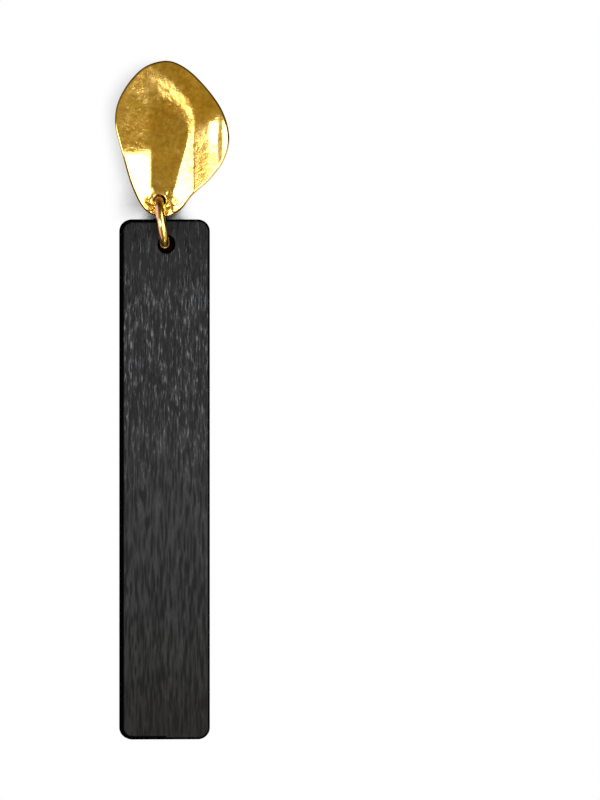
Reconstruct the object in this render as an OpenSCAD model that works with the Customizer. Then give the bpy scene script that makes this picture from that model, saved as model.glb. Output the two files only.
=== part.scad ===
// Bar drop earring: a hammered leaf stud with its ear post, a split jump ring
// and a flat wood bar that hangs from it.
// Millimetres. +Z is up, +X is to the right as seen from the front, and the
// ear post points along +Y. The origin is on the post's axis, on the back face
// of its pad, where the front of the ear lobe rests.

/* [Leaf stud] */
// Width of the hammered leaf
leaf_w = 15.4; // [13:0.1:20]
// Height of the hammered leaf
leaf_h = 21; // [18:0.1:27]
// Thickness of its metal
leaf_t = 1; // [0.8:0.05:1.4]
// Slope of its raised left panel, which every bend is a share of
fold_slope = 0.3; // [0.1:0.05:0.4]
// Metal left below the eye, down to the leaf's lower edge
leaf_web = 1.4; // [1:0.1:2.2]
// How far the eye lies to the left of the post
eye_left = 0.75; // [0:0.05:1.5]
// How much wider the eye is than the ring's wire
eye_play = 0.45; // [0.4:0.05:0.8]
// How far the flat round the eye reaches past the eye's edge
tab_rim = 0.1; // [0.1:0.1:0.6]
// Width of the blend from that flat into the folds
tab_blend = 1.2; // [0.6:0.1:2]

/* [Ear post] */
// Diameter of the post
post_d = 0.8; // [0.7:0.05:1]
// Length of the post behind its pad
post_l = 10.5; // [9:0.5:12]
// Length of the tapered tip, part of the post's length
post_tip_l = 0.5; // [0.3:0.1:1]
// Diameter of the blunt end of the tip
post_tip_d = 0.4; // [0.2:0.05:0.6]
// Diameter of the solder pad at the post's foot
pad_d = 2.6; // [2:0.1:3.5]
// How far the pad stands out of the back of the leaf
pad_proud = 0.4; // [0.2:0.05:0.8]

/* [Jump ring] */
// Diameter of the ring's wire
wire_d = 1.2; // [0.8:0.05:1.4]
// Width of the saw cut where the ring's ends meet
cut_w = 0.08; // [0.05:0.01:0.2]
// Angle at which the ring leans, its top to the left
ring_lean = 8; // [0:1:10]

/* [Wood bar] */
// Width of the bar
bar_w = 12.1; // [8:0.1:16]
// Length of the bar
bar_l = 70; // [40:1:90]
// Thickness of the bar
bar_t = 2.4; // [1.8:0.1:3]
// Radius of the bar's corners, seen from the front
bar_corner_r = 1.6; // [1:0.1:3]
// Radius of the bar's eased edges
bar_edge_r = 0.35; // [0.1:0.05:0.6]
// Wood left above the hole
bar_web = 2.2; // [1.8:0.1:3.2]
// How far the hole lies to the right of the bar's middle
bar_hole_right = 0.15; // [0:0.05:1]
// How much wider the hole is than the ring's wire
bar_hole_play = 1.1; // [1:0.05:1.6]
// Radius of the eased rim of the hole
bar_hole_ease = 0.15; // [0.05:0.05:0.3]
// Angle at which the bar is turned, its left side to the front
bar_turn = 6; // [0:0.5:8]

/* [Fits] */
// Gap between the leaf's lower edge and the bar's top
hang_gap = 0.3; // [0.2:0.05:1]
// Gap between the ring and the metal or wood that it carries or hangs from
seat_gap = 0.12; // [0.08:0.01:0.2]
// Gap between the ring's wire and the side of a hole that it lies against
side_gap = 0.05; // [0.03:0.01:0.1]

/* [Hidden] */
$fn = 96;

// The leaf's outline, anticlockwise from its lowest point, as seen from the
// front, in shares of its width and height from the post's axis.
//            across     up
OUTLINE = [[-0.020, -0.676],
           [ 0.129, -0.632],
           [ 0.242, -0.533],
           [ 0.391, -0.433],
           [ 0.514, -0.308],
           [ 0.560, -0.160],
           [ 0.496,  0.013],
           [ 0.330,  0.180],
           [ 0.155,  0.292],
           [-0.011,  0.327],
           [-0.213,  0.270],
           [-0.383,  0.109],
           [-0.437, -0.064],
           [-0.370, -0.282],
           [-0.287, -0.488],
           [-0.178, -0.629]];
CURVE_STEPS = 5;       // straight steps between two points of the outline
HEART = [0.02, -0.15]; // the middle of the leaf's rings of facets, in the same shares
EASE_STEPS = 4;        // flat steps round an eased edge of the bar

// The rings of facets, from the heart to the rim, in shares of the reach to the
// outline and of half the leaf's thickness. The last three round the rim.
//        reach   half thickness
RINGS = [[0.11,  1],
         [0.22,  1],
         [0.33,  1],
         [0.43,  1],
         [0.52,  1],
         [0.61,  1],
         [0.69,  1],
         [0.77,  1],
         [0.84,  1],
         [0.905, 1],
         [0.955, 1],
         [0.975, 0.9],
         [0.99,  0.7],
         [1,     0.35]];

// The leaf is bent along seven soft lines. A bend is the change of slope across
// its line, as a share of fold_slope: hollow above zero and a ridge below. Six
// lines run up the leaf, from left to right, and the places are how far across
// each lies, in the outline's shares, at levels FOLD_STEP apart from FOLD_START up.
// Each line is softer at the top of the leaf than at its foot: low and high are
// its softness below SOFT_FROM and above SOFT_TO, in shares of the leaf's width.
FOLD_START = -0.75;
FOLD_STEP = 0.15;
SOFT_FROM = -0.12;
SOFT_TO = 0.22;
//         bend   low    high   places
FOLDS = [[ 1.00, 0.012, 0.050, [-0.125, -0.125, -0.125, -0.125, -0.12, -0.13,  -0.18, -0.26, -0.34]], // hollow, left
         [ 1.13, 0.010, 0.036, [ 0.06,   0.07,   0.10,   0.155,  0.215, 0.235,  0.08, -0.18, -0.42]], // hollow, right
         [-1.47, 0.005, 0.024, [ 0.25,   0.25,   0.25,   0.25,   0.25,  0.27,   0.12, -0.19, -0.44]], // crest
         [-0.80, 0.010, 0.040, [ 0.38,   0.385,  0.39,   0.395,  0.395, 0.39,   0.34,  0.22,  0.10]], // shoulder
         [ 0.93, 0.008, 0.035, [ 0.50,   0.50,   0.485,  0.445,  0.445, 0.475,  0.45,  0.35,  0.26]], // dip
         [-1.13, 0.008, 0.035, [ 0.51,   0.51,   0.50,   0.505,  0.515, 0.50,   0.47,  0.42,  0.34]]]; // right rim

// The seventh line runs across the leaf, which falls back above and below it.
// The places are how far up it lies, at steps CROSS_STEP apart from CROSS_START
// to the right. The slopes are shares of fold_slope.
CROSS_START = -0.6;
CROSS_STEP = 0.2;
CROSS_LINE = [-0.27, -0.27, -0.265, -0.235, -0.14, -0.05, -0.02, 0];
CROSS_SOFT = 0.03;
SLOPE_ABOVE = 0.30;
SLOPE_BELOW = 0.37;

// Sizes that follow
wire_r = wire_d / 2;
eye_r = (wire_d + eye_play) / 2;
hole_r = (wire_d + bar_hole_play) / 2;
leaf_bottom_z = OUTLINE[0].y * leaf_h;
eye_x = -eye_left;
eye_z = leaf_bottom_z + leaf_web + eye_r;

// The ring's inner radius, from the webs and the gap that it has to take. up_in
// and down_in are how far its inner circle reaches above and below its centre
// at the faces of the leaf and of the bar.
seat_span = (eye_r + leaf_web + hang_gap + bar_web + hole_r) / cos(ring_lean)
            - eye_r - hole_r + 2 * seat_gap;
up_in = (seat_span + (pow(bar_t, 2) - pow(leaf_t, 2)) / 4 / seat_span) / 2;
down_in = seat_span - up_in;
ring_in_r = sqrt(pow(up_in, 2) + pow(leaf_t / 2, 2));
ring_mid_r = ring_in_r + wire_r;

// Half the height of the wire's section at the face of a plate
function wire_half(inner, plate_t) =
    (sqrt(pow(ring_in_r + wire_d, 2) - pow(plate_t / 2, 2)) - inner) / 2;
// How far the wire lies to the left in a hole, until it is side_gap from it
function side_shift(bore_r, half) =
    sqrt(max(0, pow(bore_r - half - side_gap, 2) - pow(bore_r - half - seat_gap, 2)));
eye_side = side_shift(eye_r, wire_half(up_in, leaf_t));
// The bar is turned about its hole, so the wire needs more room between its faces
hole_side = max(0, side_shift(hole_r, wire_half(down_in, bar_t)) - bar_t / 2 * tan(bar_turn));
eye_up = up_in - seat_gap + eye_r;
hole_down = down_in - seat_gap + hole_r;
down_ring = [sin(ring_lean), 0, -cos(ring_lean)];

function leaf_point(share) = [share.x * leaf_w, share.y * leaf_h];
function sum(list, i = 0) = i < len(list) ? list[i] + sum(list, i + 1) : 0;
function smooth(t) = let (c = max(0, min(1, t))) c * c * (3 - 2 * c);
// Zero on the low side of a bend and a straight rise on the other
function bend_rise(d, soft) = soft * (max(0, d / soft) + ln(1 + exp(-abs(d / soft))));

// A smooth line along evenly stepped places, u steps from the first: its place,
// and how fast it changes for each step
function spline(places, u) =
    let (v = max(1, min(len(places) - 2.001, u)), i = floor(v), t = v - i,
         a = places[i - 1], b = places[i], c = places[i + 1], d = places[i + 2])
    [(pow(1 - t, 3) * a + (3 * pow(t, 3) - 6 * t * t + 4) * b
      + (-3 * pow(t, 3) + 3 * t * t + 3 * t + 1) * c + pow(t, 3) * d) / 6,
     (-pow(1 - t, 2) * a + (3 * t * t - 4 * t) * b + (-3 * t * t + 2 * t + 1) * c + t * t * d) / 2];
// Distance to such a line from a point at place p, u steps along it
function line_offset(places, u, p, size, step_l) =
    let (s = spline(places, u))
    (p - s[0] * size) / sqrt(1 + pow(s[1] * size / step_l, 2));

// Height of the folds at p, towards the front
function fold_height(p) =
    let (u = (p.y / leaf_h - FOLD_START) / FOLD_STEP,
         v = (p.x / leaf_w - CROSS_START) / CROSS_STEP,
         high = smooth((p.y / leaf_h - SOFT_FROM) / (SOFT_TO - SOFT_FROM)),
         up = line_offset(CROSS_LINE, v, p.y, leaf_h, CROSS_STEP * leaf_w))
    fold_slope * (sum([for (fold = FOLDS)
                      let (d = line_offset(fold[3], u, p.x, leaf_w, FOLD_STEP * leaf_h),
                           soft = fold[1] + (fold[2] - fold[1]) * high)
                      fold[0] * bend_rise(d, soft * leaf_w)])
                  - p.x - SLOPE_ABOVE * bend_rise(up, CROSS_SOFT * leaf_w)
                  - SLOPE_BELOW * bend_rise(-up, CROSS_SOFT * leaf_w));
// Height of the finished leaf at p, with the flat round the eye and below it
eye_height = fold_height([eye_x, eye_z]);
function leaf_height(p) =
    let (d = norm([p.x - eye_x, p.y - max(leaf_bottom_z, min(eye_z, p.y))]))
    eye_height + (fold_height(p) - eye_height) * smooth((d - eye_r - tab_rim) / tab_blend);

// Y of the middle of the metal at p: at the post its back is pad_proud in front
// of the origin
leaf_y = leaf_height([0, 0]) - leaf_t / 2 - pad_proud;
function metal_y(p) = leaf_y - leaf_height(p);

// The chain from the eye through the ring to the bar
eye_at = [eye_x, leaf_y - eye_height, eye_z];
ring_at = eye_at - [eye_side, 0, 0] + eye_up * down_ring;
hole_at = ring_at + hole_down * down_ring + [hole_side, 0, 0];
bar_top_up = hole_r + bar_web;

// A closed curve through the outline's points
function curve_point(a, b, c, d, t) =
    b + (c - a) * t / 2 + (2 * a - 5 * b + 4 * c - d) * t * t / 2
    + (3 * b - a - 3 * c + d) * t * t * t / 2;
RIM = let (n = len(OUTLINE)) [
    for (i = [0:n - 1], k = [0:CURVE_STEPS - 1])
        leaf_point(curve_point(OUTLINE[(i + n - 1) % n], OUTLINE[i], OUTLINE[(i + 1) % n],
                               OUTLINE[(i + 2) % n], k / CURVE_STEPS))];

// The middle of the metal from the heart outwards, and half its thickness there
heart = leaf_point(HEART);
SHEET = concat([[heart.x, metal_y(heart), heart.y, leaf_t / 2]],
    [for (ring = RINGS, rim = RIM)
        let (p = heart + ring[0] * (rim - heart)) [p.x, metal_y(p), p.y, ring[1] * leaf_t / 2]]);
// One face of the leaf, with side -1 for the front
function face_points(side) = [for (q = SHEET) [q[0], q[1] + side * q[3], q[2]]];
function flipped(faces) = [for (f = faces) [f[0], f[2], f[1]]];
function shifted(faces, by) = [for (f = faces) [f[0] + by, f[1] + by, f[2] + by]];

module hammered_leaf() {
    m = len(RIM);
    n = len(RINGS);
    sheet = 1 + n * m;
    front = concat(
        [for (k = [0:m - 1]) [0, 1 + (k + 1) % m, 1 + k]],
        [for (i = [0:n - 2], k = [0:m - 1])
            let (a = 1 + i * m + k, b = 1 + i * m + (k + 1) % m) each [[a, b, b + m], [a, b + m, a + m]]]);
    rim = [for (k = [0:m - 1])
        let (a = 1 + (n - 1) * m + k, b = 1 + (n - 1) * m + (k + 1) % m)
            each [[a, b, b + sheet], [a, b + sheet, a + sheet]]];
    polyhedron(points = concat(face_points(-1), face_points(1)),
               faces = concat(front, shifted(flipped(front), sheet), rim),
               convexity = 6);
}

// A round rod along +Y from the point at
module rod(at, length, r, end_r) {
    translate(at) rotate([-90, 0, 0]) cylinder(h = length, r1 = r, r2 = end_r);
}

module leaf_stud() color([0.80, 0.62, 0.28]) {
    foot_y = -pad_proud - leaf_t / 2;
    difference() {
        hammered_leaf();
        rod(eye_at - [0, leaf_t, 0], 2 * leaf_t, eye_r, eye_r);
    }
    tip_y = post_l - post_tip_l;
    rod([0, foot_y, 0], -foot_y, pad_d / 2, pad_d / 2);
    rod([0, foot_y, 0], tip_y - foot_y, post_d / 2, post_d / 2);
    rod([0, tip_y, 0], post_tip_l, post_d / 2, post_tip_d / 2);
}

// The ring stands across the eye, with its saw cut at the back
module jump_ring() color([0.85, 0.65, 0.32]) {
    cut_angle = cut_w / ring_mid_r * 180 / PI;
    translate(ring_at) rotate([0, 90 - ring_lean, 0])
        rotate([0, 0, 90 + cut_angle / 2])
            rotate_extrude(angle = 360 - cut_angle) translate([ring_mid_r, 0]) circle(r = wire_r);
}

// Half the section of a plate from its middle line out to reach, with eased edges
module eased_half(reach, plate_t, ease) {
    arc = [for (k = [0:EASE_STEPS]) ease * [sin(90 * k / EASE_STEPS), 1 - cos(90 * k / EASE_STEPS)]];
    flat = reach - ease;
    half_t = plate_t / 2;
    polygon(concat([[0, -half_t]],
                   [for (q = arc) [flat + q.x, q.y - half_t]],
                   [for (k = [EASE_STEPS:-1:0]) [flat + arc[k].x, half_t - arc[k].y]],
                   [[0, half_t]]));
}

// A plate in the XZ plane with round corners and eased edges, centred
module eased_plate(w, l, plate_t, corner_r, ease) {
    core_w = w - 2 * corner_r;
    core_l = l - 2 * corner_r;
    cube([core_w, plate_t, core_l], center = true);
    for (side = [-1, 1]) {
        translate([side * core_w / 2, 0, -core_l / 2]) mirror([side < 0 ? 1 : 0, 0, 0])
            linear_extrude(core_l) eased_half(corner_r, plate_t, ease);
        translate([-core_w / 2, 0, side * core_l / 2]) mirror([0, 0, side < 0 ? 1 : 0])
            rotate([0, -90, 0]) mirror([0, 0, 1]) linear_extrude(core_w) eased_half(corner_r, plate_t, ease);
        for (end = [-1, 1])
            translate([side * core_w / 2, 0, end * core_l / 2])
                mirror([side < 0 ? 1 : 0, 0, 0]) mirror([0, 0, end < 0 ? 1 : 0])
                    rotate([90, 0, 0]) rotate_extrude(angle = 90) eased_half(corner_r, plate_t, ease);
    }
}

module wood_bar() color([0.16, 0.16, 0.16])
    translate(hole_at) rotate([0, 0, bar_turn]) difference() {
        translate([-bar_hole_right, 0, bar_top_up - bar_l / 2])
            eased_plate(bar_w, bar_l, bar_t, bar_corner_r, bar_edge_r);
        rod([0, -bar_t, 0], 2 * bar_t, hole_r, hole_r);
        for (face = [0, 180]) rotate([0, 0, face])
            rod([0, bar_t / 2 - bar_hole_ease, 0], 2 * bar_hole_ease, hole_r, hole_r + 2 * bar_hole_ease);
    }

leaf_stud();
jump_ring();
wood_bar();
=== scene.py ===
# %% [markdown]
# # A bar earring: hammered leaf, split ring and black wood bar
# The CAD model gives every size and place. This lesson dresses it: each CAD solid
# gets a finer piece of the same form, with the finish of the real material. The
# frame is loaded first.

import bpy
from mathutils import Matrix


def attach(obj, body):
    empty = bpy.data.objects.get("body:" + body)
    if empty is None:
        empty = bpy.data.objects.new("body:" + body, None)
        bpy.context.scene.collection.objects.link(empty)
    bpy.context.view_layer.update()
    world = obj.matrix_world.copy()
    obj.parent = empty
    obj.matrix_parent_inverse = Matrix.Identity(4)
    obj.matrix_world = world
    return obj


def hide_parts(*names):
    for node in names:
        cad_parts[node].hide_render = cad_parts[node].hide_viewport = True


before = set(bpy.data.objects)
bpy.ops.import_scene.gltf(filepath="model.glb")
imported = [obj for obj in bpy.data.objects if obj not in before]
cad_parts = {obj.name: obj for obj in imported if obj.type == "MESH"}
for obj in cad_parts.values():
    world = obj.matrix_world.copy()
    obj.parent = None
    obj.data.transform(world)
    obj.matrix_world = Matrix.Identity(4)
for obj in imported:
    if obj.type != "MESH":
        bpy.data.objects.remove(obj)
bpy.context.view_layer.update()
print("CAD nodes", sorted(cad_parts))

# %% Tools and units
import math

import bmesh
import bpy
import numpy as np
from mathutils import Vector

MM = 0.001
scene = bpy.context.scene

# %% [markdown]
# ## Working by hand in code
# An operator acts on all that is selected, so each step starts from a clean
# selection. A piece is built round its own middle, then set in its place, and its
# place goes into the mesh: the object itself stays at the origin, unturned.

# %% Selecting and placing
def only(piece):
    """Nothing but this piece is selected."""
    bpy.ops.object.select_all(action="DESELECT")
    piece.select_set(True)
    bpy.context.view_layer.objects.active = piece


def named(name):
    """The object just added, alone in the selection and under its own name."""
    piece = bpy.context.object
    piece.name = piece.data.name = name
    only(piece)
    return piece


def settle(piece):
    """Puts the piece's place and turn into its mesh."""
    only(piece)
    bpy.ops.object.transform_apply(location=True, rotation=True, scale=True)


def coords(piece):
    """The piece's points, one row each, in millimetres."""
    flat = np.empty(3 * len(piece.data.vertices))
    piece.data.vertices.foreach_get("co", flat)
    return flat.reshape(-1, 3) / MM


def put_coords(piece, points):
    piece.data.vertices.foreach_set("co", (np.asarray(points) * MM).ravel())
    piece.data.update()


# %% Closing a shape and measuring it
def close_up(piece, smooth_angle=40):
    """Merges doubles, points the faces outwards and shades the piece smooth."""
    only(piece)
    bpy.ops.object.mode_set(mode="EDIT")
    bpy.ops.mesh.select_all(action="SELECT")
    bpy.ops.mesh.remove_doubles(threshold=1e-7)
    bpy.ops.mesh.normals_make_consistent(inside=False)
    bpy.ops.object.mode_set(mode="OBJECT")
    bpy.ops.object.shade_smooth_by_angle(angle=math.radians(smooth_angle))


def report(piece):
    """Says how big the piece is, and whether it is closed."""
    mesh = bmesh.new()
    mesh.from_mesh(piece.data)
    open_edges = sum(not e.is_manifold for e in mesh.edges)
    volume = mesh.calc_volume(signed=True) / MM ** 3
    triangles = sum(len(f.verts) - 2 for f in mesh.faces)
    mesh.free()
    points = coords(piece)
    print(f"{piece.name}: {triangles} triangles, {open_edges} open edges, {volume:.1f} mm3,",
          "from", points.min(0).round(3), "to", points.max(0).round(3))


# %% [markdown]
# ## The form of the leaf
# The leaf is a cast plate of brass, hammered and bent along seven soft lines. The
# CAD model gives the outline and the lines, and they are repeated here, because a
# bend has to lie where the CAD has it. Six lines run up the leaf and one across.
# All are shares of the leaf's width and height, from the post's axis.

# %% Outline and fold lines
LEAF_W, LEAF_H, LEAF_T = 15.4, 21.0, 1.0
FOLD_SLOPE = 0.3
OUTLINE = [(-0.020, -0.676), (0.129, -0.632), (0.242, -0.533), (0.391, -0.433),
           (0.514, -0.308), (0.560, -0.160), (0.496, 0.013), (0.330, 0.180),
           (0.155, 0.292), (-0.011, 0.327), (-0.213, 0.270), (-0.383, 0.109),
           (-0.437, -0.064), (-0.370, -0.282), (-0.287, -0.488), (-0.178, -0.629)]
FOLD_START, FOLD_STEP = -0.75, 0.15
# bend as a share of the slope, softness low and high, places across from the bottom up
FOLDS = [(1.00, 0.012, 0.050, [-0.125, -0.125, -0.125, -0.125, -0.12, -0.13, -0.18, -0.26, -0.34]),
         (1.13, 0.010, 0.036, [0.06, 0.07, 0.10, 0.155, 0.215, 0.235, 0.08, -0.18, -0.42]),
         (-1.47, 0.005, 0.024, [0.25, 0.25, 0.25, 0.25, 0.25, 0.27, 0.12, -0.19, -0.44]),
         (-0.80, 0.010, 0.040, [0.38, 0.385, 0.39, 0.395, 0.395, 0.39, 0.34, 0.22, 0.10]),
         (0.93, 0.008, 0.035, [0.50, 0.50, 0.485, 0.445, 0.445, 0.475, 0.45, 0.35, 0.26]),
         (-1.13, 0.008, 0.035, [0.51, 0.51, 0.50, 0.505, 0.515, 0.50, 0.47, 0.42, 0.34])]
SOFT_FROM, SOFT_TO = -0.12, 0.22
CROSS_START, CROSS_STEP = -0.6, 0.2
CROSS_LINE = [-0.27, -0.27, -0.265, -0.235, -0.14, -0.05, -0.02, 0]
CROSS_SOFT, SLOPE_ABOVE, SLOPE_BELOW = 0.03, 0.30, 0.37
PAD_PROUD = 0.4
EYE_X, EYE_Z, EYE_R = -0.75, -11.971, 0.825
TAB_RIM, TAB_BLEND = 0.1, 1.2
LEAF_BOTTOM = OUTLINE[0][1] * LEAF_H


# %% How a line bends the leaf
def spline(places, u):
    """A smooth line through evenly stepped places: its place, and its change a step."""
    c = np.array(places)
    u = np.clip(u, 1, len(c) - 2.001)
    i = np.floor(u).astype(int)
    t = u - i
    a, b, d, e = c[i - 1], c[i], c[i + 1], c[i + 2]
    place = ((1 - t) ** 3 * a + (3 * t ** 3 - 6 * t ** 2 + 4) * b
             + (-3 * t ** 3 + 3 * t ** 2 + 3 * t + 1) * d + t ** 3 * e) / 6
    change = (-(1 - t) ** 2 * a + (3 * t ** 2 - 4 * t) * b
              + (-3 * t ** 2 + 2 * t + 1) * d + t ** 2 * e) / 2
    return place, change


def line_offset(places, u, p, size, step):
    place, change = spline(places, u)
    return (p - place * size) / np.sqrt(1 + (change * size / step) ** 2)


def bend_rise(d, soft):
    """Zero on the low side of a bend and a straight rise on the other."""
    return soft * np.logaddexp(0, d / soft)


def smooth(t):
    t = np.clip(t, 0, 1)
    return t * t * (3 - 2 * t)


def fold_height(x, z):
    u = (z / LEAF_H - FOLD_START) / FOLD_STEP
    share = smooth((z / LEAF_H - SOFT_FROM) / (SOFT_TO - SOFT_FROM))
    rise = sum(bend * bend_rise(line_offset(places, u, x, LEAF_W, FOLD_STEP * LEAF_H),
                                LEAF_W * (low + (high - low) * share))
               for bend, low, high, places in FOLDS)
    up = line_offset(CROSS_LINE, (x / LEAF_W - CROSS_START) / CROSS_STEP, z, LEAF_H,
                     CROSS_STEP * LEAF_W)
    return FOLD_SLOPE * (rise - x - SLOPE_ABOVE * bend_rise(up, CROSS_SOFT * LEAF_W)
                         - SLOPE_BELOW * bend_rise(-up, CROSS_SOFT * LEAF_W))


EYE_HEIGHT = fold_height(np.array(EYE_X), np.array(EYE_Z))


def eye_distance(x, z):
    """Distance to the line from the eye's middle down to the leaf's lower edge."""
    return np.hypot(x - EYE_X, z - np.clip(z, LEAF_BOTTOM, EYE_Z))


def leaf_height(x, z):
    flat = smooth((eye_distance(x, z) - EYE_R - TAB_RIM) / TAB_BLEND)
    return EYE_HEIGHT + (fold_height(x, z) - EYE_HEIGHT) * flat


LEAF_Y = leaf_height(np.array(0.0), np.array(0.0)) - LEAF_T / 2 - PAD_PROUD
print("middle of the metal at the eye: y =", (LEAF_Y - EYE_HEIGHT).round(4))

# %% [markdown]
# ## Hammer marks
# On the real leaf the crest and the left panel carry small shallow dents, and the
# tab round the eye is beaten into little facets. They could be bump in the
# material, but real dents also show at the rim and in a printed copy, so they go
# into the mesh: a few hundred round dents, each a soft hollow some hundredths of a
# millimetre deep. The finest grain is left to the material.

# %% Where the dents lie
def patch(x, z, at, reach):
    """One in the middle of an oval patch, and zero outside it."""
    away = np.hypot((x - at[0]) / reach[0], (z - at[1]) / reach[1])
    return 1 - smooth((away - 0.55) / 0.45)


def crest_offset(x, z):
    """Distance to the crest line."""
    return line_offset(FOLDS[2][3], (z / LEAF_H - FOLD_START) / FOLD_STEP, x, LEAF_W,
                       FOLD_STEP * LEAF_H)


def beaten(x, z):
    """How roughly the leaf is finished at a place: the crest's upper end most."""
    along_crest = np.exp(-((crest_offset(x, z) + 0.6) / 1.0) ** 2) * smooth((z + 3.5) / 4)
    top = 0.5 * patch(x, z, (-2.0, 3.4), (3.6, 2.8))
    left = 0.22 * patch(x, z, (-4.0, -2.4), (3.2, 3.9))
    ridge = 0.7 * np.exp(-(crest_offset(x, z) / 0.3) ** 2)
    shoulder = 0.6 * patch(x, z, (4.9, -6.5), (1.5, 6.0))
    tab = 0.4 * near_eye(x, z)
    return np.clip(0.15 + along_crest + top + left + ridge + shoulder + tab, 0, 1.2)


def near_eye(x, z):
    return patch(x, z, (EYE_X + 0.45, EYE_Z - 0.2), (3.0, 2.3))


def sparkling(x, z):
    return np.clip(patch(x, z, (-3.6, -1.6), (3.6, 4.2)) + 0.8 * patch(x, z, (1.5, 2.0), (3.5, 3.0)), 0, 1)


def dents(x, z, count, sizes, depth, seed, where):
    """Shallow round hollows scattered over the leaf, as deep as where(x, z) says."""
    spots = np.random.default_rng(seed)
    cx = spots.uniform(-7.5, 9.0, count)
    cz = spots.uniform(-15.0, 7.5, count)
    size = spots.uniform(*sizes, count)
    deep = depth * spots.uniform(0.4, 1.0, count) * where(cx, cz)
    relief = np.zeros_like(x)
    for k in np.flatnonzero(deep > 1e-4):
        near = (np.abs(x - cx[k]) < size[k]) & (np.abs(z - cz[k]) < size[k])
        r2 = ((x[near] - cx[k]) ** 2 + (z[near] - cz[k]) ** 2) / size[k] ** 2
        relief[near] += deep[k] * np.clip(1 - r2, 0, 1) ** 2
    return relief


# %% [markdown]
# ## The leaf
# The plate could be cut from a dense grid, but then its rim and its eye would be
# ragged steps. So a flat grid is rolled up round the eye instead: its columns
# become spokes from the eye to the outline, and its rows become rings. The rings
# lie close together at the eye and at the rim, where the edge is rounded. The seam
# is merged, and an extrude gives the plate its second face.

# %% Outline as a closed curve
def outline_points(steps):
    """The closed curve through the outline's points, in millimetres."""
    p = np.array(OUTLINE) * [LEAF_W, LEAF_H]
    a, b, c, d = (np.roll(p, k, axis=0)[:, None] for k in (1, 0, -1, -2))
    t = np.arange(steps)[None, :, None] / steps
    curve = (b + (c - a) * t / 2 + (2 * a - 5 * b + 4 * c - d) * t ** 2 / 2
             + (3 * b - a - 3 * c + d) * t ** 3 / 2).reshape(-1, 2)
    return curve


def even_steps(curve, count):
    """Points at even distances along a closed curve."""
    closed = np.vstack([curve, curve[:1]])
    along = np.concatenate([[0], np.cumsum(np.hypot(*np.diff(closed, axis=0).T))])
    want = np.linspace(0, along[-1], count, endpoint=False)
    return np.stack([np.interp(want, along, closed[:, k]) for k in (0, 1)], axis=1)


SPOKES = 360
RIM = even_steps(outline_points(60), SPOKES)
print("outline length", np.hypot(*(RIM - np.roll(RIM, 1, axis=0)).T).sum().round(2), "mm")

# %% Rows from the eye to the rim
EYE_ROWS = [0, 0.02, 0.05, 0.09, 0.14, 0.20]          # mm from the eye's edge
RIM_ROWS = [0.34, 0.27, 0.20, 0.14, 0.09, 0.045, 0.015, 0]  # mm from the outline
MIDDLE_ROWS = 88
EYE_ROUND, RIM_ROUND, RIM_HALF = 0.14, 0.28, 0.175


def rounded(d, reach, drop):
    """How far a face falls back at distance d from an edge that is rounded."""
    t = np.clip(1 - d / reach, 0, 1)
    return drop * (1 - np.sqrt(1 - t ** 2))


def leaf_rows():
    """x, z and half the thickness of every point, a row at a time."""
    eye = np.array([EYE_X, EYE_Z])
    away = RIM - eye
    length = np.hypot(*away.T)
    spoke = away / length[:, None]
    tangent = np.roll(RIM, -1, axis=0) - np.roll(RIM, 1, axis=0)
    tangent /= np.hypot(*tangent.T)[:, None]
    across = np.clip(np.abs(spoke[:, 0] * tangent[:, 1] - spoke[:, 1] * tangent[:, 0]), 0.3, 1)
    first = np.full(SPOKES, EYE_R + EYE_ROWS[-1])
    last = length - RIM_ROWS[0] / across
    rows = [EYE_R + d + 0 * length for d in EYE_ROWS]
    rows += [first + (last - first) * k / (MIDDLE_ROWS + 1) for k in range(1, MIDDLE_ROWS + 1)]
    rows += [length - d / across for d in RIM_ROWS]
    reach = np.array(rows)
    half = (LEAF_T / 2 - rounded(reach - EYE_R, EYE_ROUND, EYE_ROUND)
            - rounded((length - reach) * across, RIM_ROUND, LEAF_T / 2 - RIM_HALF))
    place = eye + reach[..., None] * spoke
    return place[..., 0], place[..., 1], half


row_x, row_z, row_half = leaf_rows()
print("rows and spokes", row_x.shape)

# %% Rolling the grid up into the leaf
def close_row(values):
    """The last column of the grid lies on the first one, where the seam is."""
    return np.hstack([values, values[:, :1]]).ravel()


rows, spokes = row_x.shape
bpy.ops.object.select_all(action="DESELECT")
bpy.ops.mesh.primitive_grid_add(x_subdivisions=spokes, y_subdivisions=rows - 1, size=1)
leaf = named("leaf")
x, z, half = close_row(row_x), close_row(row_z), close_row(row_half)
relief = (dents(x, z, 220, (0.8, 1.5), 0.010, 3, beaten) + dents(x, z, 1500, (0.34, 0.6), 0.010, 4, beaten)
          + dents(x, z, 260, (0.26, 0.40), 0.030, 5, sparkling)
          + dents(x, z, 900, (0.28, 0.5), 0.055, 6, near_eye)
          + dents(x, z, 260, (0.5, 0.85), 0.06, 7, near_eye))
middle_y = LEAF_Y - leaf_height(x, z) + relief
put_coords(leaf, np.stack([x, middle_y - half, z], axis=1))
print("hammered relief up to", relief.max().round(4), "mm")

# %% The second face
thickness = leaf.data.attributes.new("half_thickness", "FLOAT", "POINT")
thickness.data.foreach_set("value", half)
only(leaf)
bpy.ops.object.mode_set(mode="EDIT")
bpy.ops.mesh.select_all(action="SELECT")
bpy.ops.mesh.remove_doubles(threshold=1e-8)
bpy.ops.mesh.extrude_region_move()
bpy.ops.object.mode_set(mode="OBJECT")

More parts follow.
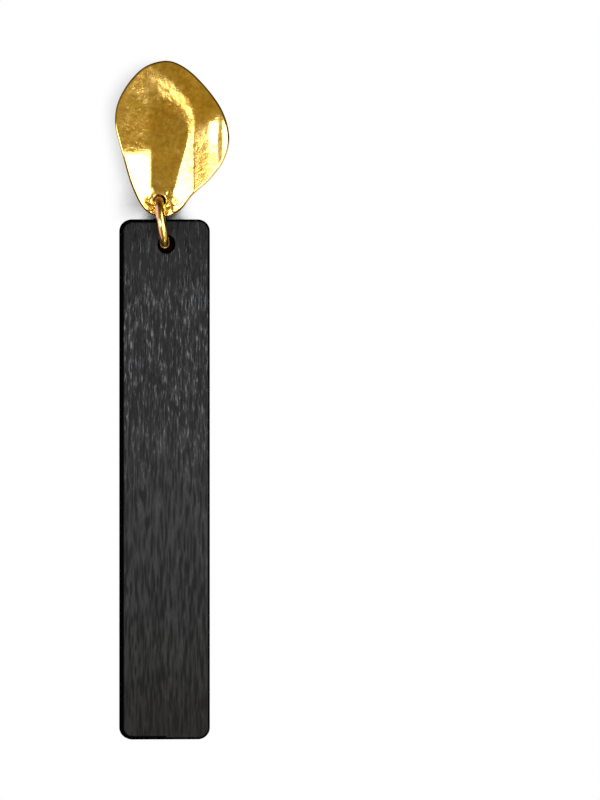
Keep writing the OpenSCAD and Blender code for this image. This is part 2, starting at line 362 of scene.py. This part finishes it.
copied = np.zeros(len(leaf.data.vertices), bool)
leaf.data.vertices.foreach_get("select", copied)
half = np.zeros(len(copied), np.float32)
leaf.data.attributes["half_thickness"].data.foreach_get("value", half)
points = coords(leaf)
points[copied, 1] += 2 * half[copied]
put_coords(leaf, points)
leaf.data.attributes.remove(leaf.data.attributes["half_thickness"])
leaf.data.attributes.new("beaten", "FLOAT", "POINT").data.foreach_set(
    "value", beaten(points[:, 0], points[:, 2]))
close_up(leaf)
report(leaf)

# %% [markdown]
# ## The ear post and its solder
# A post is turned from wire, so it is built the way a lathe works: a round disc is
# extruded along the axis and scaled at each station. Near the tip it has the
# shallow groove in which an ear nut snaps. The pad sits on the back of the leaf in
# a small collar of solder, which follows the slope of the metal.

# %% A turned rod along +Y
def turned(name, stations, sides=48):
    """Extrudes a disc through stations of y and radius, in millimetres."""
    (y, r), rest = stations[0], stations[1:]
    bpy.ops.object.select_all(action="DESELECT")
    bpy.ops.mesh.primitive_circle_add(vertices=sides, radius=r * MM, fill_type="NGON",
                                      location=(0, y * MM, 0), rotation=(-math.pi / 2, 0, 0))
    rod = named(name)
    settle(rod)
    bpy.ops.object.mode_set(mode="EDIT")
    bpy.ops.mesh.select_all(action="SELECT")
    for next_y, next_r in rest:
        bpy.ops.mesh.extrude_region_move(
            TRANSFORM_OT_translate={"value": (0, (next_y - y) * MM, 0)})
        grow = next_r / r
        bpy.ops.transform.resize(value=(grow, 1, grow), center_override=(0, next_y * MM, 0))
        y, r = next_y, next_r
    bpy.ops.object.mode_set(mode="OBJECT")
    close_up(rod, 35)
    return rod


PAD_R, POST_R, POST_L, TIP_L = 1.3, 0.4, 10.5, 0.5
ear_post = turned("ear_post", [
    (-0.9, PAD_R), (-0.10, PAD_R), (-0.04, 1.28), (-0.01, 1.23), (0, 1.17), (0, 0.62),
    (0.03, 0.52), (0.09, 0.45), (0.18, 0.41), (0.30, POST_R), (8.55, POST_R), (8.65, 0.37),
    (8.80, 0.35), (8.95, 0.37), (9.05, POST_R), (POST_L - TIP_L, POST_R), (10.2, 0.33),
    (10.35, 0.27), (10.45, 0.21), (POST_L, 0.12)])
report(ear_post)

# %% The collar of solder
COLLAR = [(1.20, 0.22), (1.34, 0.20), (1.42, 0.11), (1.54, 0.045), (1.72, 0.005), (1.82, -0.03),
          (1.60, -0.25), (1.20, -0.25)]     # reach from the post, rise from the leaf's back
COLLAR_SIDES = 96


def roll_both_ways(name, across, around, place):
    """A grid closed both ways into a ring, each point from place(section, angle)."""
    bpy.ops.object.select_all(action="DESELECT")
    bpy.ops.mesh.primitive_grid_add(x_subdivisions=around, y_subdivisions=across, size=1)
    piece = named(name)
    put_coords(piece, [place(i % across, 2 * math.pi * (k % around) / around)
                       for i in range(across + 1) for k in range(around + 1)])
    close_up(piece, 50)
    return piece


def collar_point(section, angle):
    reach, rise = COLLAR[section]
    px, pz = reach * math.cos(angle), reach * math.sin(angle)
    back_y = float(LEAF_Y - leaf_height(np.array(px), np.array(pz))) + LEAF_T / 2
    return px, min(back_y + rise, -0.03), pz


solder = roll_both_ways("solder_collar", len(COLLAR), COLLAR_SIDES, collar_point)
report(solder)

# %% [markdown]
# ## The split ring
# A jump ring is wire wound round a rod and sawn through. So a round section is
# spun about the ring's axis, and stops short of a full turn by the saw cut, which
# lies at the back. It could be a torus, but a torus has no cut. The two ends at the
# cut are closed, and their edges are slightly rounded.

# %% Sizes and place of the ring
WIRE_R, RING_R, CUT_W = 0.6, 2.8957, 0.08
RING_AT = Vector((-0.4752, -0.5056, -14.8879)) * MM
RING_LEAN = math.radians(8)
WIRE_SIDES, RING_STEPS = 40, 160

# %% Spinning the wire
cut = CUT_W / RING_R
bpy.ops.object.select_all(action="DESELECT")
bpy.ops.mesh.primitive_circle_add(
    vertices=WIRE_SIDES, radius=WIRE_R * MM, rotation=(cut / 2, 0, 0),
    location=(0, RING_R * math.cos(cut / 2) * MM, RING_R * math.sin(cut / 2) * MM))
ring = named("split_ring")
settle(ring)
bpy.ops.object.mode_set(mode="EDIT")
bpy.ops.mesh.select_all(action="SELECT")
bpy.ops.mesh.spin(steps=RING_STEPS, angle=2 * math.pi - cut, center=(0, 0, 0), axis=(1, 0, 0))
bpy.ops.mesh.select_all(action="SELECT")
bpy.ops.mesh.fill_holes(sides=0)
mesh = bmesh.from_edit_mesh(ring.data)
for face in mesh.faces:
    face.select_set(len(face.verts) == WIRE_SIDES)
bmesh.update_edit_mesh(ring.data)
bpy.ops.mesh.bevel(offset=0.03 * MM, segments=2, affect="EDGES")
bpy.ops.object.mode_set(mode="OBJECT")
ring.rotation_euler = (0, -RING_LEAN, 0)
ring.location = RING_AT
settle(ring)
close_up(ring, 45)
report(ring)

# %% [markdown]
# ## The wood bar
# The bar is a strip of wood, sanded round at its corners and edges, drilled and
# stained black. A bevelled cube has the form, but no points on its faces to carry
# the grain. So a grid is laid with its rows and columns close together near the
# edges, the rows near each end are drawn in to the round corners, and the pores of
# the wood are pressed into it before an extrude gives it its second face.

# %% Sizes and place of the bar
BAR_W, BAR_L, BAR_T, BAR_TURN = 12.1, 70.0, 2.4, math.radians(6)
CORNER_R, EDGE_R = 1.6, 0.35
HOLE_AT = Vector((0.0516, -0.5056, -17.846)) * MM
HOLE_R, HOLE_EASE, HOLE_RIGHT, TOP_UP = 1.15, 0.15, 0.15, 3.35


# %% Rows and columns
def both_ends(steps, reach, pitch):
    """Places from -reach to reach: the given steps at each end, and even ones between."""
    inner = reach - steps[-1]
    middle = np.linspace(-inner, inner, int(2 * inner / pitch) + 1)[1:-1]
    low = [-reach + s for s in steps]
    return np.array(low + list(middle) + [-v for v in reversed(low)])


corner_steps = [CORNER_R * (1 - math.cos(math.pi / 2 * k / 16)) for k in range(17)]
side_steps = [0, 0.02, 0.06, 0.11, 0.17, 0.24, 0.31, 0.38]
columns = both_ends(side_steps, BAR_W / 2, 0.115)
levels = both_ends(corner_steps, BAR_L / 2, 0.40)
print(len(columns), "columns and", len(levels), "rows")


def edge_distance(x, z):
    """How far inside the bar's round-cornered outline a point lies."""
    qx, qz = np.abs(x) - (BAR_W / 2 - CORNER_R), np.abs(z) - (BAR_L / 2 - CORNER_R)
    outside = np.hypot(np.maximum(qx, 0), np.maximum(qz, 0))
    return CORNER_R - outside - np.minimum(np.maximum(qx, qz), 0)


# %% Pores of the wood
def pores(x, z, count, seed):
    """Depth of the open pores, long and narrow along the grain, in millimetres."""
    spots = np.random.default_rng(seed)
    depth = np.zeros_like(x)
    for _ in range(count):
        cx, cz = spots.uniform(-BAR_W / 2, BAR_W / 2), spots.uniform(-BAR_L / 2, BAR_L / 2)
        wide, long = spots.uniform(0.12, 0.24), spots.uniform(0.8, 2.6)
        deep = spots.uniform(0.008, 0.028)
        near = (np.abs(x - cx) < wide) & (np.abs(z - cz) < long)
        r2 = ((x[near] - cx) / wide) ** 2 + ((z[near] - cz) / long) ** 2
        depth[near] = np.maximum(depth[near], deep * np.clip(1 - r2, 0, 1))
    return depth


# %% The bar's plate
col_x, row_z = np.meshgrid(columns, levels)
inset_z = np.clip(np.abs(row_z) - (BAR_L / 2 - CORNER_R), 0, CORNER_R)
row_half_w = BAR_W / 2 - CORNER_R + np.sqrt(CORNER_R ** 2 - inset_z ** 2)
x, z = (col_x * row_half_w / (BAR_W / 2)).ravel(), row_z.ravel()
inside = np.maximum(edge_distance(x, z), 0)
half = BAR_T / 2 - rounded(inside, EDGE_R, EDGE_R)
fade = smooth((inside - 0.2) / 0.4)
front, rear = pores(x, z, 1500, 21) * fade, pores(x, z, 1500, 22) * fade

bpy.ops.object.select_all(action="DESELECT")
bpy.ops.mesh.primitive_grid_add(x_subdivisions=len(columns) - 1, y_subdivisions=len(levels) - 1, size=1)
bar = named("bar")
put_coords(bar, np.stack([x, front - half, z], axis=1))
for label, values in (("rear_y", half - rear), ("pore", front), ("rear_pore", rear), ("edge", inside)):
    bar.data.attributes.new(label, "FLOAT", "POINT").data.foreach_set("value", values)

# %% Its second face
only(bar)
bpy.ops.object.mode_set(mode="EDIT")
bpy.ops.mesh.select_all(action="SELECT")
bpy.ops.mesh.extrude_region_move()
bpy.ops.object.mode_set(mode="OBJECT")


def read(piece, label):
    values = np.zeros(len(piece.data.vertices), np.float32)
    piece.data.attributes[label].data.foreach_get("value", values)
    return values


copied = np.zeros(len(bar.data.vertices), bool)
bar.data.vertices.foreach_get("select", copied)
points = coords(bar)
points[copied, 1] = read(bar, "rear_y")[copied]
put_coords(bar, points)
pore = np.where(copied, read(bar, "rear_pore"), read(bar, "pore"))
bar.data.attributes["pore"].data.foreach_set("value", pore)
for label in ("rear_y", "rear_pore"):
    bar.data.attributes.remove(bar.data.attributes[label])
close_up(bar, 50)

# %% The hole
def hole_stations():
    """A drill with flared ends, which leaves the rim of the hole rounded."""
    face = BAR_T / 2
    turn = [math.pi / 2 * k / 6 for k in range(7)]
    flare = [(face - HOLE_EASE + HOLE_EASE * math.sin(a), HOLE_R + HOLE_EASE * (1 - math.cos(a)))
             for a in turn] + [(face + 0.3, HOLE_R + HOLE_EASE)]
    return [(-y, r) for y, r in reversed(flare)] + flare


drill = turned("drill", hole_stations(), 64)
only(bar)
bar.location = (-HOLE_RIGHT * MM, 0, (TOP_UP - BAR_L / 2) * MM)
settle(bar)
boolean = bar.modifiers.new("hole", "BOOLEAN")
boolean.operation, boolean.solver, boolean.object = "DIFFERENCE", "EXACT", drill
bpy.ops.object.modifier_apply(modifier="hole")
bpy.data.objects.remove(drill)
bar.rotation_euler.z = BAR_TURN
bar.location = HOLE_AT
settle(bar)
bpy.ops.object.shade_smooth_by_angle(angle=math.radians(50))
report(bar)

# %% [markdown]
# ## Gold
# Plated brass is a metal: its colour is the colour of what it mirrors, tinted by
# the gold. What makes it look hammered is a normal that wanders, so a fine grain
# and a soft satin go into bump and roughness. A shade of redder gold comes and
# goes with a coarse noise, as on a plating that has been handled, and a finer
# noise dulls it a little here and there, as grime in the small hollows does.

# %% Small helpers for materials
def new_material(name):
    material = bpy.data.materials.new(name)
    material.use_nodes = True
    nodes = material.node_tree.nodes
    nodes.clear()
    output = nodes.new("ShaderNodeOutputMaterial")
    shader = nodes.new("ShaderNodeBsdfPrincipled")
    material.node_tree.links.new(shader.outputs[0], output.inputs["Surface"])
    return material, shader


class Wiring:
    """Adds nodes to one material and links them by name."""

    def __init__(self, material):
        self.nodes, self.links = material.node_tree.nodes, material.node_tree.links

    def add(self, kind, inputs=None, **settings):
        node = self.nodes.new("ShaderNode" + kind)
        for name, value in settings.items():
            setattr(node, name, value)
        for name, value in (inputs or {}).items():
            self.set(node.inputs[name], value)
        return node

    def set(self, socket, value):
        if isinstance(value, bpy.types.NodeSocket):
            self.links.new(value, socket)
        else:
            socket.default_value = value

    def noise(self, vector, scale, detail=2.0, roughness=0.5):
        return self.add("TexNoise", {"Vector": vector, "Scale": scale, "Detail": detail,
                                     "Roughness": roughness}).outputs[0]

    def ramp(self, factor, stops):
        """A colour ramp; a stop is a place and a grey or a colour."""
        node = self.add("ValToRGB", {"Fac": factor})
        for k, (place, colour) in enumerate(stops):
            element = node.color_ramp.elements[k] if k < 2 else node.color_ramp.elements.new(place)
            element.position = place
            element.color = (*colour, 1) if isinstance(colour, tuple) else (colour,) * 3 + (1,)
        return node.outputs[0]

    def mix(self, factor, a, b, blend="MIX"):
        node = self.add("Mix", data_type="RGBA", blend_type=blend)
        self.set(node.inputs[0], factor)
        self.set(node.inputs[6], a)
        self.set(node.inputs[7], b)
        return node.outputs[2]

    def math(self, operation, *values):
        node = self.add("Math", operation=operation)
        for socket, value in zip(node.inputs, values):
            self.set(socket, value)
        return node.outputs[0]

    def bump(self, height, distance, normal=None):
        node = self.add("Bump", {"Height": height, "Distance": distance})
        if normal is not None:
            self.set(node.inputs["Normal"], normal)
        return node.outputs[0]


# %% Hammered gold and polished gold
GOLD, RED_GOLD = (0.88, 0.60, 0.17, 1), (0.80, 0.475, 0.09, 1)


def gold_material(name, rough, grain, grain_scale):
    """rough is the range of roughness, grain the depth of the bump in metres."""
    material, shader = new_material(name)
    w = Wiring(material)
    place = w.add("TexCoord").outputs["Object"]
    beaten = w.add("Attribute", attribute_name="beaten").outputs["Fac"]
    shade = w.ramp(w.noise(place, 260, 3, 0.6), [(0.42, 0.0), (0.68, 1.0)])
    grime = w.ramp(w.noise(place, 1700, 3, 0.65), [(0.36, 0.74), (0.62, 1.0)])
    w.set(shader.inputs["Base Color"], w.mix(1.0, w.mix(shade, GOLD, RED_GOLD), grime, "MULTIPLY"))
    shader.inputs["Metallic"].default_value = 1.0
    mottle = w.add("MapRange", {"Value": w.noise(place, 900, 4, 0.65), "From Min": 0.35, "From Max": 0.70,
                                "To Min": rough[0], "To Max": rough[1]}).outputs[0]
    w.set(shader.inputs["Roughness"], w.math("MULTIPLY_ADD", beaten, 0.12, mottle))
    fine = w.math("MULTIPLY", w.noise(place, grain_scale, 3, 0.6), w.math("MULTIPLY_ADD", beaten, 1.6, 0.6))
    satin = w.bump(w.noise(place, grain_scale / 3, 2, 0.5), 1.5 * grain)
    w.set(shader.inputs["Normal"], w.bump(fine, grain, satin))
    return material


hammered_gold = gold_material("hammered_gold", (0.09, 0.19), 1.1e-5, 4600)
polished_gold = gold_material("polished_gold", (0.17, 0.27), 1.5e-6, 3000)

# %% [markdown]
# ## Black wood
# The stain soaks in unevenly: along the grain the wood is dark grey with short
# lighter flecks where fibres catch the light, and nearly black in the pores. The
# sanded edges are painted near black and without gloss, as stain and as painted
# shade on their rounding, and the band is drawn wider on the left side as that
# side's painted shade. The flecks are a noise that is stretched along the bar, and
# a longer one cuts dark scratches into them. Towards the foot the brushing fades
# and the grey darkens a little. The top of the bar is painted darker, as the shade
# under the leaf. The stain itself is a cool black. Pores and edges come from the
# values kept in the mesh.

# %% Stained wood
STAIN = (0.93, 0.97, 1.08, 1)


def wood_material(name):
    material, shader = new_material(name)
    w = Wiring(material)
    # the bar's own axes, with the origin in the middle of its hole
    own = w.add("Mapping", {"Vector": w.add("TexCoord").outputs["Object"],
                            "Location": HOLE_AT, "Rotation": (0, 0, BAR_TURN)},
                vector_type="TEXTURE").outputs[0]
    split = w.add("SeparateXYZ", {0: own})
    up = split.outputs["Z"]
    along = w.add("Mapping", {"Vector": own, "Scale": (1, 1, 0.15)}).outputs[0]
    longer = w.add("Mapping", {"Vector": own, "Scale": (1, 1, 0.04)}).outputs[0]
    fibre = w.noise(along, 5600, 3, 0.7)
    scratch = w.ramp(w.noise(longer, 5200, 2, 0.6), [(0.36, 0.25), (0.49, 1.0)])
    brushed = w.ramp(fibre, [(0.34, 0.006), (0.47, 0.032), (0.56, 0.056), (0.67, 0.24)])
    plain = w.mix(0.1, w.ramp(w.noise(longer, 2600, 2, 0.5), [(0.3, 0.040), (0.7, 0.054)]), brushed)
    strong = w.ramp(w.math("MULTIPLY_ADD", up, 48.0, 1.9), [(0.15, 0.0), (1.0, 1.0)])
    grey = w.mix(strong, plain, w.mix(1.0, brushed, scratch, "MULTIPLY"))
    foot = w.ramp(w.math("MULTIPLY_ADD", up, -80.0, -4.3), [(0.0, 1.0), (1.0, 0.75)])
    # painted shade under the leaf: the bar's top is darkest at its edge and clears some 11 mm down
    head = w.ramp(w.math("MULTIPLY_ADD", up, -80.0, 0.268),
                  [(0.0, 0.16), (0.1, 0.32), (0.45, 0.52), (0.9, 1.0)])
    grey = w.mix(1.0, w.mix(1.0, grey, foot, "MULTIPLY"), head, "MULTIPLY")
    pore = w.add("Attribute", attribute_name="pore").outputs["Fac"]
    grey = w.mix(w.ramp(w.math("MULTIPLY", pore, 40.0), [(0.0, 0.0), (0.8, 1.0)]),
                 grey, (0.014, 0.014, 0.015, 1))
    edge = w.add("Attribute", attribute_name="edge").outputs["Fac"]
    # painted shade of the bar's left side: the black edge band is drawn wider on the left
    left = w.math("LESS_THAN", split.outputs["X"], 0.0)
    edge = w.math("MULTIPLY_ADD", left, -0.17, edge)
    # the sanded edges painted near black, as stain and as painted shade of their rounding
    grey = w.mix(w.ramp(edge, [(0.24, 0.0), (0.38, 1.0)]), (0.0015, 0.0015, 0.0015, 1), grey)
    w.set(shader.inputs["Base Color"], w.mix(1.0, grey, STAIN, "MULTIPLY"))
    # no gloss on the edges, so their painted shade stays black
    w.set(shader.inputs["Specular IOR Level"], w.ramp(edge, [(0.24, 0.0), (0.38, 0.15)]))
    w.set(shader.inputs["Roughness"], w.ramp(fibre, [(0.3, 0.75), (0.7, 0.5)]))
    w.set(shader.inputs["Normal"], w.bump(fibre, 1.2e-5))
    return material


black_wood = wood_material("black_wood")

# %% Finishes and bodies
for piece, finish in ((leaf, hammered_gold), (ear_post, polished_gold), (solder, hammered_gold),
                      (ring, polished_gold), (bar, black_wood)):
    piece.data.materials.clear()
    piece.data.materials.append(finish)

for piece, body, node, slot in ((leaf, "stud", "leaf_stud", "hammered_gold"),
                                (ear_post, "stud", "leaf_stud", "polished_gold"),
                                (solder, "stud", "leaf_stud", "hammered_gold"),
                                (ring, "ring", "jump_ring", "polished_gold"),
                                (bar, "bar", "wood_bar", "black_wood")):
    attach(piece, body)
    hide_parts(node)

# %% [markdown]
# ## Floor, light and camera
# A mirror-like metal shows the room, so the room is the larger part of its look.
# Soft boxes to the left and the right, from the horizon down, and a dim warm front
# give wide white patches with darker bands of gold between them. The boxes are
# painted on the sky, so they stand in nothing's way, and what the camera itself
# sees of the sky is white. A broad warm glow behind the earring lights its back and
# the ring's tip. A gentle mottle stands for what else is in the room. The pale
# floor lies below the picture, out of the gold's mirror image, which shows the
# boxes down to their lower ends.

# %% Floor
FLOOR_Z = -0.115
bpy.ops.object.select_all(action="DESELECT")
bpy.ops.mesh.primitive_plane_add(size=0.5, location=(0, 0.05, FLOOR_Z))
floor = named("floor")
settle(floor)
pale, shader = new_material("pale_floor")
shader.inputs["Base Color"].default_value = (0.9, 0.9, 0.9, 1)
shader.inputs["Roughness"].default_value = 0.8
floor.data.materials.append(pale)
floor.visible_glossy = floor.visible_diffuse = False

# %% Lamps
def rectangle(name, width, height, brightness, colour):
    """A soft lamp that the camera doesn't see."""
    light = bpy.data.lights.new(name, "AREA")
    light.shape, light.size, light.size_y = "RECTANGLE", width, height
    light.energy = brightness * math.pi * width * height
    light.color = colour
    lamp = bpy.data.objects.new(name, light)
    scene.collection.objects.link(lamp)
    lamp.visible_camera = False
    print(name, "energy", round(light.energy, 2), "W")
    return lamp


# %% A lamp for the floor
# The soft boxes stand low and leave the floor dark, so a lamp overhead lights the
# floor alone.
for_floor = bpy.data.collections.new("for_floor")
for_floor.objects.link(floor)
overhead_lamp = rectangle("floor_lamp", 1.0, 1.0, 4.2, (1, 1, 1))
overhead_lamp.location = (0, 0, 1.0)
overhead_lamp.light_linking.receiver_collection = for_floor

# %% Strips that only the ring mirrors
# A ring is round wire, so it mirrors what stands above and below too. On the real
# one a bright streak runs along its whole front. Nothing else is lit by these
# lamps, or stands in their way.
for_ring = bpy.data.collections.new("for_ring")
for_ring.objects.link(ring)
ring_right = rectangle("ring_right", 0.45, 1.1, 5.0, (1, 0.93, 0.80))
ring_right.location = (0.30, -0.42, -0.17)
ring_right.rotation_euler = (math.pi / 2, 0, math.pi / 2)
ring_left = rectangle("ring_left", 0.8, 1.1, 2.0, (0.6, 0.46, 1.0))
ring_left.location = (-0.30, 0.25, -0.17)
ring_left.rotation_euler = (math.pi / 2, 0, -math.pi / 2)
ring_low = rectangle("ring_low", 0.12, 0.35, 5.0, (1, 0.90, 0.70))
ring_low.location = (0.11, 0.16, -0.40)
ring_tip = rectangle("ring_tip", 0.36, 1.1, 2.6, (1, 0.74, 0.40))
ring_tip.location = (0.02, 0.67, -0.40)
ring_low.rotation_euler = ring_tip.rotation_euler = (math.pi, 0, 0)
for strip in (ring_left, ring_right, ring_low, ring_tip):
    strip.light_linking.receiver_collection = for_ring
    strip.light_linking.blocker_collection = for_ring

# %% A sheet of painted shade behind the earring
# Close behind the bar, where the earring lay on white paper, stands a dark sheet
# that carries painted shade and nothing else: the deep shade in the hole, in the
# eye and under the leaf's edge, and the soft shadow that the leaf throws to its
# left. Elsewhere it is left clear, so the white behind it shows.
SHEET_Y = 0.00135
bpy.ops.object.select_all(action="DESELECT")
bpy.ops.mesh.primitive_plane_add(size=0.11, location=(0, SHEET_Y, -0.040), rotation=(math.pi / 2, 0, 0))
sheet = named("shade_sheet")
settle(sheet)
paper, shader = new_material("painted_shade")
w = Wiring(paper)
# the colour of the painted shade and shadow, a warm near black
shader.inputs["Base Color"].default_value = (0.012, 0.005, 0.004, 1)
shader.inputs["Roughness"].default_value = 1.0
shader.inputs["Specular IOR Level"].default_value = 0.0
# painted deep shade where the sheet is closed in: in the hole, in the eye and under the leaf's edge
open_sky = w.add("AmbientOcclusion", {"Distance": 0.004}, samples=16).outputs["AO"]
deep = w.ramp(open_sky, [(0.33, 1.0), (0.39, 0.0)])
# a painted shadow left of the leaf, where the sheet is closed in on its right; it fades out below the leaf
rightwards = w.add("CombineXYZ", {"X": 0.8, "Y": -0.6}).outputs[0]
open_right = w.add("AmbientOcclusion", {"Distance": 0.005, "Normal": rightwards}, samples=16).outputs["AO"]
height = w.add("SeparateXYZ", {0: w.add("TexCoord").outputs["Object"]}).outputs["Z"]
beside_leaf = w.ramp(w.math("MULTIPLY_ADD", height, 400.0, 6.0), [(0.0, 0.0), (1.0, 1.0)])
painted_left_shadow = w.mix(1.0, w.ramp(open_right, [(0.35, 0.55), (0.80, 0.0)]), beside_leaf, "MULTIPLY")
# the sheet shows only where shade is painted, and is clear elsewhere
w.set(shader.inputs["Alpha"], w.mix(1.0, deep, painted_left_shadow, "LIGHTEN"))
sheet.data.materials.append(paper)
sheet.visible_diffuse = sheet.visible_glossy = sheet.visible_shadow = False

# %% The room
SIDE_GLOW, FRONT_GLOW = (0.02, 0.017, 0.015, 1), (0.36, 0.278, 0.078, 1)
# azimuths, heights, soft edges of both, colour; all angles in degrees
SOFT_BOXES = [((-62, -15), (-17, 1), (3, 2), (8.6, 8.8, 9.4)),
              ((24, 62), (-34, -0.8), (2, 2), (8.6, 8.8, 9.4)),
              ((15, 24), (-40, 1), (3, 4), (0.9, 1.05, 1.7)),
              ((4, 40), (4, 35), (4, 6), (0.15, 0.125, 0.045)),
              ((75, 150), (-60, -5), (10, 5), (0.9, 0.9, 0.9)),
              ((140, 200), (-40, 40), (10, 10), (0.50, 0.32, 0.10)),
              ((-200, -140), (-40, 40), (10, 10), (0.50, 0.32, 0.10))]
world = bpy.data.worlds.new("studio")
scene.world = world
world.use_nodes = True
w = Wiring(world)
w.nodes.clear()
direction = w.add("TexCoord").outputs["Generated"]
split = w.add("SeparateXYZ", {0: direction})
azimuth = w.math("MULTIPLY", w.math("ARCTAN2", split.outputs["X"],
                                    w.math("MULTIPLY", split.outputs["Y"], -1.0)), 180 / math.pi)
elevation = w.math("MULTIPLY", w.math("ARCSINE", split.outputs["Z"]), 180 / math.pi)


def between(angle, ends, edge):
    """One between two angles and zero outside them, with soft edges."""
    low, high = ends
    rise = w.add("MapRange", {"Value": angle, "From Min": low - edge, "From Max": low + edge},
                 interpolation_type="SMOOTHSTEP").outputs[0]
    fall = w.add("MapRange", {"Value": angle, "From Min": high - edge, "From Max": high + edge,
                              "To Min": 1.0, "To Max": 0.0}, interpolation_type="SMOOTHSTEP").outputs[0]
    return w.math("MULTIPLY", rise, fall)


share = w.add("MapRange", {"Value": split.outputs["Y"], "From Min": -0.8, "From Max": 0.1}).outputs[0]
room = w.mix(share, FRONT_GLOW, SIDE_GLOW)
overhead = w.add("MapRange", {"Value": elevation, "From Min": 0.0, "From Max": 60.0,
                              "To Min": 1.0, "To Max": 0.4}).outputs[0]
clutter = w.ramp(w.noise(direction, 5.0, 3, 0.6), [(0.38, 0.75), (0.62, 1.35)])
room = w.mix(1.0, w.mix(1.0, room, overhead, "MULTIPLY"), clutter, "MULTIPLY")
for azimuths, heights, edges, colour in SOFT_BOXES:
    lit = w.math("MULTIPLY", between(azimuth, azimuths, edges[0]), between(elevation, heights, edges[1]))
    room = w.mix(1.0, room, w.mix(lit, (0, 0, 0, 1), (*colour, 1)), "ADD")
seen = w.mix(w.add("LightPath").outputs["Is Camera Ray"], room, (1, 1, 1, 1))
background = w.add("Background", {"Color": seen, "Strength": 1.0})
w.links.new(background.outputs[0], w.add("OutputWorld").inputs["Surface"])

# %% Camera
# The picture's height takes in 107.8 mm at the earring, and its middle lies 18.2 mm
# to the right of the post and 38.8 mm below it.
DISTANCE, VIEW_H, VIEW_AT = 1.2, 0.1078, (0.01815, -0.03881)
camera = bpy.data.objects.new("camera", bpy.data.cameras.new("camera"))
scene.collection.objects.link(camera)
camera.location = (VIEW_AT[0], -DISTANCE, VIEW_AT[1])
camera.rotation_euler = (math.pi / 2, 0, 0)
camera.data.lens = camera.data.sensor_width * DISTANCE / VIEW_H
camera.data.clip_start, camera.data.clip_end = 0.05, 20
scene.camera = camera
scene.view_settings.view_transform = "Standard"
scene.cycles.use_denoising = True
print("lens", round(camera.data.lens, 1), "mm")
